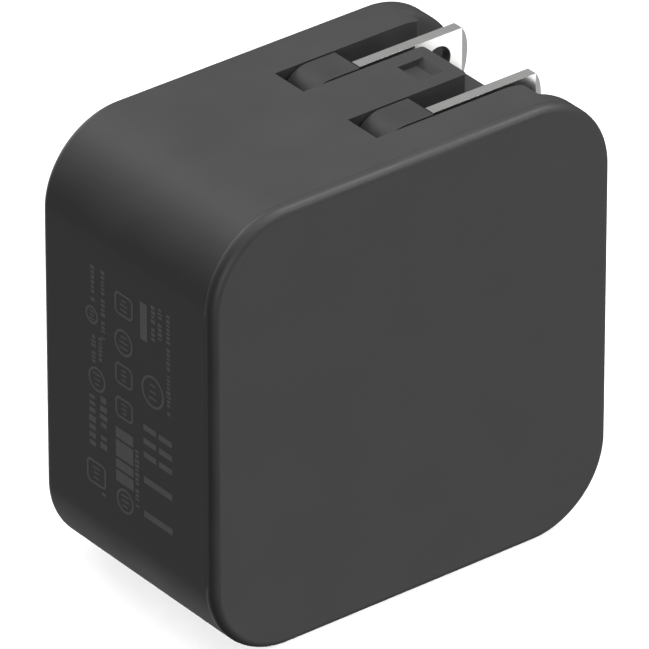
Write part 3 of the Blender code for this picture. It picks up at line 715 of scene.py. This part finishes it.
def make_port_contacts(material):
    """A row of contacts let into each face of the tongue."""
    half_y = tongue_half_thickness()
    start = TONGUE_LOW.z + CONTACT_START
    end = TONGUE_LOW.z + CONTACT_END
    shape = bmesh.new()
    for index in range(CONTACT_COUNT):
        middle = (index - (CONTACT_COUNT - 1) / 2) * CONTACT_PITCH
        across = (middle - CONTACT_HALF_WIDTH, middle + CONTACT_HALF_WIDTH)
        for side in (-1, 1):
            depth = sorted((side * (half_y - CONTACT_DEPTH), side * (half_y + CONTACT_RISE)))
            contact = rectangle(*across, *depth)
            add_loft(shape, [(contact, start), (contact, end)], "Z")
    contacts = add_object("port_contacts", shape)
    finish_piece(contacts, material, "charger")


def new_node(tree, kind, inputs=(), **settings):
    """Add a shader node; an input is (socket, value or another node's output)."""
    node = tree.nodes.new(kind)
    for name, value in settings.items():
        setattr(node, name, value)
    for socket, value in inputs:
        if isinstance(value, bpy.types.NodeSocket):
            tree.links.new(value, node.inputs[socket])
        else:
            node.inputs[socket].default_value = value
    return node


# Where the sum of two noise textures mostly lies
NOISE_LOW = 0.7
NOISE_HIGH = 1.3
# Length of one wave of the wave texture at a scale of 1
WAVE_LENGTH = 0.314


def surface_material(name, dark, light, patch, grain, roughness, relief,
                     metallic=0.0, stretch=(1.0, 1.0, 1.0), bands=None):
    """Material with broad colour patches, and fine grain in colour, gloss and relief.

    The colours are linear, and roughness is (lowest, highest). Patch, grain and relief are sizes.
    Stretch scales the grain's frequency along each axis: below 1 draws it out like brushing.
    Bands, (axis, pitch), adds ridges to the relief.
    """
    material = bpy.data.materials.new(name)
    material.use_nodes = True
    tree = material.node_tree
    shader = tree.nodes["Principled BSDF"]
    shader.inputs["Metallic"].default_value = metallic
    position = new_node(tree, "ShaderNodeTexCoord").outputs["Object"]
    mapping = new_node(tree, "ShaderNodeMapping", [("Vector", position), ("Scale", stretch)])
    broad = new_node(tree, "ShaderNodeTexNoise", [
        ("Vector", position), ("Scale", 1 / (patch * MM)), ("Detail", 3.0),
    ])
    fine = new_node(tree, "ShaderNodeTexNoise", [
        ("Vector", mapping.outputs["Vector"]), ("Scale", 1 / (grain * MM)), ("Detail", 2.0),
    ])
    tone = new_node(tree, "ShaderNodeMath", [(0, broad.outputs["Fac"]), (1, fine.outputs["Fac"])])
    shade = tone.outputs["Value"]
    height = fine.outputs["Fac"]
    if bands:
        axis, pitch = bands
        wave = new_node(tree, "ShaderNodeTexWave", [
            ("Vector", position), ("Scale", WAVE_LENGTH / (pitch * MM)), ("Distortion", 0.4),
        ], bands_direction=axis)
        ridges = new_node(tree, "ShaderNodeMath", [(0, wave.outputs["Fac"]), (1, height)])
        height = ridges.outputs["Value"]

    colour = new_node(tree, "ShaderNodeMapRange", [
        ("Value", shade), ("From Min", NOISE_LOW), ("From Max", NOISE_HIGH),
    ])
    mixed = new_node(tree, "ShaderNodeMix", [("Factor", colour.outputs["Result"])], data_type="RGBA")
    mixed.inputs[6].default_value = (*dark, 1.0)
    mixed.inputs[7].default_value = (*light, 1.0)
    gloss = new_node(tree, "ShaderNodeMapRange", [
        ("Value", shade), ("From Min", NOISE_LOW), ("From Max", NOISE_HIGH),
        ("To Min", roughness[0]), ("To Max", roughness[1]),
    ])
    bump = new_node(tree, "ShaderNodeBump", [("Height", height), ("Distance", relief * MM)])
    tree.links.new(mixed.outputs[2], shader.inputs["Base Color"])
    tree.links.new(gloss.outputs["Result"], shader.inputs["Roughness"])
    tree.links.new(bump.outputs["Normal"], shader.inputs["Normal"])
    return material


def grey(value):
    return (value, value, value)


# One finish for each of the record's slots, and one for the printed marks: the material's name,
# darkest and lightest colour, patch, grain, roughness, relief, and what is special about it
FINISHES = {
    "case_plastic": (
        "case plastic", grey(0.055), grey(0.065), 7.0, 0.2, (0.45, 0.55), 0.009, {},
    ),
    "cover_plastic": (
        "cover plastic", grey(0.054), grey(0.066), 8.0, 0.2, (0.45, 0.56), 0.009, {},
    ),
    "hinge_plastic": (
        "hinge plastic", grey(0.046), grey(0.058), 4.0, 0.16, (0.42, 0.52), 0.005, {},
    ),
    "plated_blade": (
        "nickel plated blade", (0.84, 0.84, 0.83), (0.92, 0.92, 0.91), 3.0, 0.08, (0.18, 0.24),
        0.0006, {"metallic": 1.0, "stretch": (0.06, 1.0, 1.0)},
    ),
    "retainer_plastic": (
        "retainer plastic", grey(0.02), grey(0.028), 4.0, 0.2, (0.5, 0.6), 0.004, {},
    ),
    "screw_steel": (
        "screw steel", grey(0.42), grey(0.55), 1.0, 0.1, (0.3, 0.45), 0.003, {"metallic": 1.0},
    ),
    "spring_steel": (
        "spring steel", grey(0.4), grey(0.52), 1.5, 0.1, (0.25, 0.4), 0.002,
        {"metallic": 1.0, "stretch": (0.1, 1.0, 1.0)},
    ),
    "spring_bronze": (
        "spring bronze", (0.6, 0.36, 0.14), (0.78, 0.52, 0.24), 1.5, 0.1, (0.25, 0.4), 0.002,
        {"metallic": 1.0},
    ),
    "wire_insulation": (
        "wire insulation", (0.4, 0.02, 0.015), (0.52, 0.035, 0.02), 2.0, 0.2, (0.4, 0.5), 0.003, {},
    ),
    "circuit_board": (
        "circuit board", (0.012, 0.10, 0.04), (0.03, 0.18, 0.08), 1.6, 0.35, (0.3, 0.5), 0.012,
        {"bands": ("X", 1.27)},
    ),
    "port_shell": (
        "port shell", grey(0.5), grey(0.62), 1.5, 0.08, (0.22, 0.34), 0.0015,
        {"metallic": 1.0, "stretch": (1.0, 1.0, 0.08)},
    ),
    "port_plastic": (
        "port plastic", grey(0.012), grey(0.018), 1.0, 0.1, (0.42, 0.5), 0.002, {},
    ),
    "fuse_sleeve": (
        "fuse sleeve", (0.07, 0.19, 0.09), (0.12, 0.28, 0.14), 2.0, 0.2, (0.3, 0.45), 0.003, {},
    ),
    "film_capacitor": (
        "film capacitor", (0.62, 0.4, 0.04), (0.8, 0.56, 0.08), 3.0, 0.2, (0.3, 0.45), 0.004, {},
    ),
    "ceramic_disc": (
        "ceramic disc", (0.03, 0.12, 0.38), (0.06, 0.18, 0.5), 1.5, 0.15, (0.3, 0.5), 0.008, {},
    ),
    "chip_epoxy": (
        "chip epoxy", grey(0.014), grey(0.022), 1.5, 0.06, (0.5, 0.65), 0.004, {},
    ),
    "ferrite": (
        "ferrite", (0.04, 0.04, 0.045), (0.07, 0.07, 0.075), 1.2, 0.08, (0.5, 0.7), 0.008, {},
    ),
    "copper_winding": (
        "copper winding", (0.5, 0.14, 0.05), (0.68, 0.26, 0.11), 1.0, 0.15, (0.25, 0.4), 0.03,
        {"metallic": 1.0, "bands": ("Z", 0.5)},
    ),
    "capacitor_sleeve": (
        "capacitor sleeve", (0.02, 0.028, 0.07), (0.035, 0.045, 0.1), 3.0, 0.25, (0.25, 0.4), 0.004,
        {"stretch": (1.0, 1.0, 0.3)},
    ),
    "bobbin_plastic": (
        "bobbin plastic", grey(0.02), grey(0.032), 2.0, 0.2, (0.45, 0.6), 0.004, {},
    ),
    "winding_tape": (
        "winding tape", (0.6, 0.46, 0.06), (0.78, 0.64, 0.12), 3.0, 0.3, (0.25, 0.4), 0.02,
        {"bands": ("Z", 3.0)},
    ),
    "aluminium_sheet": (
        "aluminium sheet", grey(0.62), grey(0.76), 4.0, 0.12, (0.3, 0.45), 0.003,
        {"metallic": 1.0, "stretch": (0.1, 1.0, 1.0)},
    ),
    "insulation_film": (
        "insulation film", grey(0.66), grey(0.8), 5.0, 0.3, (0.4, 0.55), 0.004, {},
    ),
    "print": (
        "print ink", grey(0.15), grey(0.18), 1.2, 0.12, (0.5, 0.6), 0.002, {},
    ),
}


def make_materials():
    materials = {}
    for slot, (*finish, special) in FINISHES.items():
        materials[slot] = surface_material(*finish, **special)
    return materials


def dress_cad_nodes(materials):
    """Give each carried-over CAD node the material of its slot in the record."""
    for part in frame["record"]["subparts"]:
        item = frame["nodes"].get(part["node"])
        if item is None:
            continue
        for material_slot in item.material_slots:
            material_slot.material = materials[part["material_slot"]]


# Generic marks in place of the rating print on the left face; places are (Y, Z) on that face
PRINT_SEED = 11
TEXT_HEIGHT = 0.75
LARGE_TEXT_HEIGHT = 1.35
PRINT_STROKE = 0.27
FRAME_CORNER = 0.7
TALLY_HALF_STROKE = 0.1
# Lines of text: Y, and the range of Z that the line runs down
TEXT_LINES = (
    (6.0, (36.6, 41.1)), (4.2, (32.4, 41.2)), (5.95, (29.1, 32.5)), (4.75, (29.5, 32.7)),
    (-1.6, (14.2, 21.7)), (-4.65, (36.6, 41.0)), (-5.85, (36.9, 41.2)), (-7.3, (28.3, 41.1)),
    (4.4, (12.6, 13.4)),
)
LARGE_TEXT_LINES = ((6.3, (17.2, 24.9)), (4.3, (18.6, 25.5)))
# Rings: centre and radius
RINGS = (
    ((6.2, 34.9), 1.1), ((5.4, 27.2), 1.5), ((0.6, 34.0), 1.6), ((-4.5, 30.3), 1.95),
    ((0.6, 14.2), 1.5),
)
# Rounded frames: centre and size
FRAMES = (
    ((0.5, 38.6), (3.2, 2.8)), ((0.6, 29.9), (3.1, 2.7)), ((0.6, 25.7), (3.1, 2.6)),
    ((5.7, 15.3), (3.4, 3.0)),
)
# Bars: one range of Y with the ranges of Z of the bars that share it
BARS = (
    ((-3.6, -2.4), ((36.0, 40.6),)),
    ((-0.95, 2.15), ((16.2, 17.6), (17.9, 19.0), (19.3, 21.4), (21.7, 23.0))),
    ((-5.0, -2.8), ((24.9, 25.6), (23.2, 23.9), (21.5, 22.2))),
    ((-7.8, -5.5), ((24.9, 25.6), (23.2, 23.9), (21.5, 22.2))),
    ((-7.8, -2.8), ((18.3, 19.1), (14.0, 14.8))),
)


def print_depth():
    """Where the print starts, at the left of the CAD box, and where it ends, inside the housing."""
    left = -CASE_WIDTH / 2
    return left, left + PRINT_THICKNESS


def print_bar(shape, y_range, z_range):
    outline = rectangle(*y_range, *z_range)
    add_loft(shape, [(outline, along) for along in print_depth()], "X")


def print_text(shape, y, z_range, height, draw):
    """A row of small bars in word-like groups, running down the face like a line of small print."""
    letter_gap = 0.28 * height
    word_gap = 0.55 * height
    low, z = z_range
    while z > low:
        for _ in range(draw.randint(3, 8)):
            width = height * draw.uniform(0.3, 0.6)
            if z - width < low:
                return
            across = height * draw.uniform(0.35, 0.5)
            print_bar(shape, (y - across, y + across), (z - width, z))
            z -= width + letter_gap
        z -= word_gap


def print_ring(shape, centre, radius):
    outer = circle(centre, radius)
    inner = circle(centre, radius - PRINT_STROKE)
    add_frame(shape, outer, inner, "X", *print_depth())


def print_frame(shape, centre, size):
    width, height = size
    stroke = PRINT_STROKE
    outer = round_rectangle(width, height, FRAME_CORNER, centre)
    inner = round_rectangle(width - 2 * stroke, height - 2 * stroke, FRAME_CORNER - stroke, centre)
    add_frame(shape, outer, inner, "X", *print_depth())


def print_tally(shape, centre, radius, draw):
    """Three short bars of different lengths side by side, inside a ring or a frame."""
    y, z = centre
    pitch = 0.42 * radius
    for index in range(3):
        middle = z + (index - 1) * pitch
        half = radius * draw.uniform(0.2, 0.48)
        z_range = (middle - TALLY_HALF_STROKE, middle + TALLY_HALF_STROKE)
        print_bar(shape, (y - half, y + half), z_range)


def make_print(material):
    """Plain bars, rings and frames where a real charger carries its rating print."""
    draw = random.Random(PRINT_SEED)
    shape = bmesh.new()
    for y, z_range in TEXT_LINES:
        print_text(shape, y, z_range, TEXT_HEIGHT, draw)
    for y, z_range in LARGE_TEXT_LINES:
        print_text(shape, y, z_range, LARGE_TEXT_HEIGHT, draw)
    for centre, radius in RINGS:
        print_ring(shape, centre, radius)
        print_tally(shape, centre, radius, draw)
    for centre, size in FRAMES:
        print_frame(shape, centre, size)
        print_tally(shape, centre, size[1] / 2, draw)
    for y_range, z_ranges in BARS:
        for z_range in z_ranges:
            print_bar(shape, y_range, z_range)
    marks = add_object("rating_print", shape)
    finish_piece(marks, material, "charger")


# Camera, placed where the photograph was taken from
CAMERA_AZIMUTH = -37.923
CAMERA_ELEVATION = 30.733
CAMERA_DISTANCE = 1191.25
CAMERA_TARGET = (-0.359, 0.0, 26.847)
CAMERA_LENS = 612.4
SENSOR_WIDTH = 36.0
# In metres
CLIP_START = 0.05
CLIP_END = 50.0


def direction(azimuth, elevation):
    """Unit vector from the object; azimuth 0 is the front (-Y) and grows towards +X."""
    turn = math.radians(azimuth)
    rise = math.radians(elevation)
    level = math.cos(rise)
    return Vector((level * math.sin(turn), -level * math.cos(turn), math.sin(rise)))


def make_camera():
    data = bpy.data.cameras.new("camera")
    data.sensor_width = SENSOR_WIDTH
    data.lens = CAMERA_LENS
    data.clip_start = CLIP_START
    data.clip_end = CLIP_END
    camera = bpy.data.objects.new("camera", data)
    towards = direction(CAMERA_AZIMUTH, CAMERA_ELEVATION)
    camera.location = (Vector(CAMERA_TARGET) + CAMERA_DISTANCE * towards) * MM
    camera.rotation_euler = towards.to_track_quat("Z", "Y").to_euler()
    bpy.context.scene.collection.objects.link(camera)
    bpy.context.scene.camera = camera


# Soft boxes, square and this far from the object, in metres: azimuth, elevation, radiance
BOX_DISTANCE = 1.5
BOX_SIDE = 0.6
SOFT_BOXES = {
    "right_key_box": (90.0, 55.0, 7.55),
    "front_key_box": (35.0, 40.0, 4.5),
    "back_box": (180.0, 25.0, 4.3),
    "low_back_box": (-165.0, 8.0, 3.0),
    "front_fill_box": (-38.0, 8.0, 5.0),
}
# Soft glows of the surroundings: azimuth, elevation, sharpness (a power of the cosine), radiance
SURROUNDING_GLOWS = {
    "overhead_glow": (0.0, 90.0, 4.0, 1.25),
    "low_back_glow": (180.0, -31.0, 16.0, 1.27),
    "front_right_glow": (38.0, -31.0, 6.0, 0.55),
    "blade_glow": (38.0, -31.0, 40.0, 1.0),
    "right_glow": (90.0, -31.0, 16.0, 0.35),
    "back_right_glow": (142.0, 31.0, 16.0, 0.3),
}
BACKDROP_RADIANCE = 1.0
# Even light straight down on the floor alone, in watts per square metre
FLOOR_WASH = 3.0
# In metres
FLOOR_HALF_SIZE = 6.0
FLOOR_WASH_HEIGHT = 1.0


def make_soft_boxes():
    target = Vector((0.0, 0.0, CASE_HEIGHT / 2 * MM))
    for name, (azimuth, elevation, radiance) in SOFT_BOXES.items():
        data = bpy.data.lights.new(name, "AREA")
        data.shape = "SQUARE"
        data.size = BOX_SIDE
        data.energy = math.pi * BOX_SIDE ** 2 * radiance
        light = bpy.data.objects.new(name, data)
        towards = direction(azimuth, elevation)
        light.location = target + BOX_DISTANCE * towards
        light.rotation_euler = towards.to_track_quat("Z", "Y").to_euler()
        bpy.context.scene.collection.objects.link(light)


def light_floor(floor):
    """Light the floor evenly: only the floor receives this light, and nothing else blocks it."""
    floor_only = bpy.data.collections.new("floor_only")
    floor_only.objects.link(floor)
    data = bpy.data.lights.new("floor_wash", "SUN")
    data.energy = FLOOR_WASH
    light = bpy.data.objects.new("floor_wash", data)
    light.location = (0.0, 0.0, FLOOR_WASH_HEIGHT)
    light.light_linking.receiver_collection = floor_only
    light.light_linking.blocker_collection = floor_only
    bpy.context.scene.collection.objects.link(light)


def make_surroundings():
    """World that lights the object with a few soft glows, and is seen as a plain pale backdrop."""
    world = bpy.data.worlds.new("studio")
    world.use_nodes = True
    tree = world.node_tree
    towards = new_node(tree, "ShaderNodeTexCoord").outputs["Generated"]
    total = 0.0
    for azimuth, elevation, sharpness, radiance in SURROUNDING_GLOWS.values():
        middle = direction(azimuth, elevation)
        facing = new_node(tree, "ShaderNodeVectorMath", [(0, towards), (1, middle)],
                          operation="DOT_PRODUCT").outputs["Value"]
        lit = new_node(tree, "ShaderNodeMath", [(0, facing), (1, 0.0)],
                       operation="MAXIMUM").outputs["Value"]
        glow = new_node(tree, "ShaderNodeMath", [(0, lit), (1, sharpness)],
                        operation="POWER").outputs["Value"]
        total = new_node(tree, "ShaderNodeMath", [(0, glow), (1, radiance), (2, total)],
                         operation="MULTIPLY_ADD").outputs["Value"]
    seen = new_node(tree, "ShaderNodeLightPath").outputs["Is Camera Ray"]
    strength = new_node(tree, "ShaderNodeMix", [
        ("Factor", seen), ("A", total), ("B", BACKDROP_RADIANCE),
    ])
    background = tree.nodes["Background"]
    background.inputs["Color"].default_value = (1.0, 1.0, 1.0, 1.0)
    tree.links.new(strength.outputs["Result"], background.inputs["Strength"])
    bpy.context.scene.world = world


def clear_from_below(material):
    """Let the floor be seen from above only, so that views from below show the object's underside."""
    tree = material.node_tree
    underside = new_node(tree, "ShaderNodeNewGeometry").outputs["Backfacing"]
    paper = tree.nodes["Principled BSDF"].outputs["BSDF"]
    clear = new_node(tree, "ShaderNodeBsdfTransparent").outputs["BSDF"]
    mixed = new_node(tree, "ShaderNodeMixShader", [(0, underside), (1, paper), (2, clear)])
    tree.links.new(mixed.outputs["Shader"], tree.nodes["Material Output"].inputs["Surface"])


def make_floor():
    """Plain pale floor that the camera sees, and that leaves the light on the object alone."""
    mesh = bpy.data.meshes.new("floor")
    half = FLOOR_HALF_SIZE
    corners = [(-half, -half, 0.0), (half, -half, 0.0), (half, half, 0.0), (-half, half, 0.0)]
    mesh.from_pydata(corners, [], [(0, 1, 2, 3)])
    floor = bpy.data.objects.new("floor", mesh)
    bpy.context.scene.collection.objects.link(floor)
    patch = 60.0
    grain = 2.0
    material = surface_material("floor paper", grey(0.80), grey(0.82), patch, grain, (0.8, 0.9), 0.02)
    clear_from_below(material)
    mesh.materials.append(material)
    floor.visible_diffuse = False
    floor.visible_glossy = False
    floor.visible_transmission = False
    floor.visible_shadow = False
    return floor


def main():
    make_camera()
    materials = make_materials()
    dress_cad_nodes(materials)
    make_housing(materials["case_plastic"])
    make_cover(materials["cover_plastic"])
    make_carrier(materials["hinge_plastic"])
    for name in BLADE_BOXES:
        make_blade(name, materials["plated_blade"])
    make_port_shell(materials["port_shell"])
    make_port_tongue(materials["port_plastic"])
    make_port_contacts(materials["spring_bronze"])
    make_print(materials["print"])
    light_floor(make_floor())
    make_soft_boxes()
    make_surroundings()
    bpy.context.scene.view_settings.view_transform = "Standard"


main()
